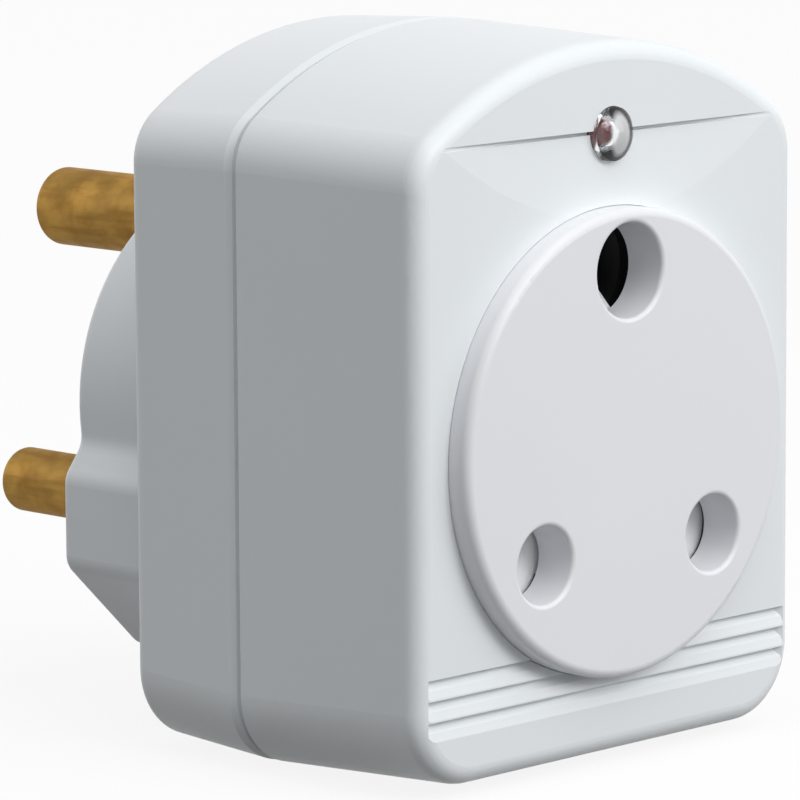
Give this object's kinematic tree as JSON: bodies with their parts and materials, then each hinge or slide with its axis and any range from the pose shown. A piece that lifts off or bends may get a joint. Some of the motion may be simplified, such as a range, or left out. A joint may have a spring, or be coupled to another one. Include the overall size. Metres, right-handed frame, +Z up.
{
  "type": "plug-in surge protector",
  "caption": "White wall plug with round pins behind and a shuttered socket disc in front, with a surge circuit and a red indicator inside.",
  "frame": {"origin": "on the plug face, on the axis of the circle through the three pin axes", "axes": "+Y the way the pins point, +Z up towards the earth pin, -Y the way the socket disc faces"},
  "size_m": [0.0582, 0.0856, 0.0754],
  "materials": {
    "case_white": "satin",
    "socket_white": "satin",
    "shutter_white": "satin",
    "carrier_grey": "matt",
    "plate_grey": "matt",
    "pin_brass": "brushed",
    "contact_brass": "satin",
    "screw_steel": "zinc plated",
    "spring_steel": "bright",
    "board_green": "matt",
    "solder": "satin",
    "varistor_blue": "gloss",
    "fuse_white": "matt",
    "gas_tube_metal": "plated",
    "resistor_tan": "matt",
    "diode_black": "gloss",
    "capacitor_yellow": "gloss",
    "led_red": "clear red",
    "lens_clear": "clear",
    "wire_red": "matt"
  },
  "bodies": {
    "case": {"front_shell": "case_white", "rear_shell": "case_white", "socket_face": "socket_white", "shutter_spring": "spring_steel", "contact_carrier": "carrier_grey", "carrier_screws": "screw_steel", "earth_pin": "pin_brass", "line_pin": "pin_brass", "neutral_pin": "pin_brass", "pin_plate": "plate_grey", "pin_plate_screws": "screw_steel", "earth_contact": "contact_brass", "line_contact": "contact_brass", "neutral_contact": "contact_brass", "earth_strap": "contact_brass", "line_strap": "contact_brass", "neutral_strap": "contact_brass", "contact_rivets": "contact_brass", "circuit_board": "board_green", "board_screws": "screw_steel", "strap_solder": "solder", "varistor_line_neutral": "varistor_blue", "varistor_line_earth": "varistor_blue", "varistor_neutral_earth": "varistor_blue", "thermal_fuse": "fuse_white", "gas_tube": "gas_tube_metal", "series_resistor": "resistor_tan", "rectifier_diode": "diode_black", "filter_capacitor": "capacitor_yellow", "indicator_led": "led_red", "indicator_lens": "lens_clear", "indicator_clip": "case_white", "indicator_wires": "wire_red", "case_screws": "screw_steel"},
    "shutter": {"shutter": "shutter_white"}
  },
  "joints": [
    {"name": "shutter_slide", "type": "slide", "parent": "case", "child": "shutter", "axis": [0, 0, -1], "range_m": [0, 0.0093], "stiffness_N_per_m": 40, "springref_m": -0.004, "deforming": ["shutter_spring"]}
  ]
}
